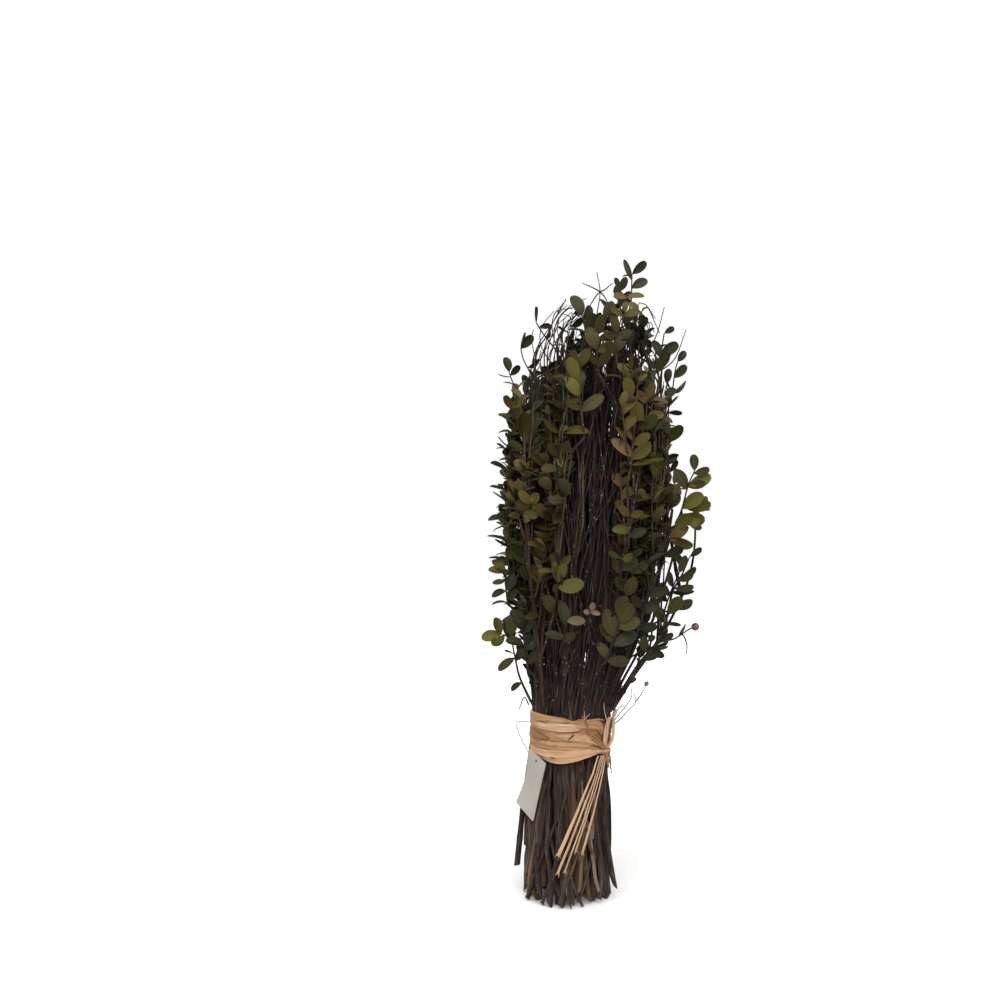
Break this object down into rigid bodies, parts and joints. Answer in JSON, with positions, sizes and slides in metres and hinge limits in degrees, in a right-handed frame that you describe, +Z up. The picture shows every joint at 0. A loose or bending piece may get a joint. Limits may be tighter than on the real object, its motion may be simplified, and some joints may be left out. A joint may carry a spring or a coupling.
{
  "type": "bundle of preserved boxwood",
  "caption": "Standing bundle of preserved boxwood branches and bare twigs, tied at the waist with a raffia band, with a blank card tag on a loop.",
  "frame": {"origin": "middle of the central branch's flat cut end, on the surface that the bundle stands on", "axes": "+Z up along the bundle, -Y towards its front, +X towards its right"},
  "size_m": [0.173, 0.1591, 0.495],
  "materials": {
    "bark": "dull rough bark",
    "boxwood_leaf": "satin preserved leaf",
    "raffia": "dry fibrous raffia",
    "card": "matte",
    "nylon": "translucent"
  },
  "bodies": {
    "root": {"bare_branch_01": "bark", "bare_branch_02": "bark", "bare_branch_03": "bark", "bare_branch_04": "bark", "bare_branch_05": "bark", "bare_branch_06": "bark", "bare_branch_07": "bark", "bare_branch_08": "bark", "bare_branch_09": "bark", "bare_branch_10": "bark", "bare_branch_11": "bark", "bare_branch_12": "bark", "bare_branch_13": "bark", "bare_branch_14": "bark", "bare_branch_15": "bark", "bare_branch_16": "bark", "bare_branch_17": "bark", "bare_branch_18": "bark", "bare_branch_19": "bark", "bare_branch_20": "bark", "bare_branch_21": "bark", "bare_branch_22": "bark", "bare_branch_23": "bark", "bare_branch_24": "bark", "bare_branch_25": "bark", "bare_branch_26": "bark", "bare_branch_27": "bark", "bare_branch_28": "bark", "bare_branch_29": "bark", "bare_branch_30": "bark", "bare_branch_31": "bark", "boxwood_branch_01": "boxwood_leaf", "boxwood_branch_02": "boxwood_leaf", "boxwood_branch_03": "boxwood_leaf", "boxwood_branch_04": "boxwood_leaf", "boxwood_branch_05": "boxwood_leaf", "boxwood_branch_06": "boxwood_leaf", "boxwood_branch_07": "boxwood_leaf", "boxwood_branch_08": "boxwood_leaf", "boxwood_branch_09": "boxwood_leaf", "boxwood_branch_10": "boxwood_leaf", "boxwood_branch_11": "boxwood_leaf", "boxwood_branch_12": "boxwood_leaf", "boxwood_branch_13": "boxwood_leaf", "boxwood_branch_14": "boxwood_leaf", "raffia_band": "raffia", "raffia_knot": "raffia", "raffia_tail_1": "raffia", "raffia_tail_2": "raffia", "raffia_tail_3": "raffia", "raffia_tail_4": "raffia", "raffia_tail_5": "raffia", "price_tag": "card", "tag_loop": "nylon"}
  },
  "joints": []
}
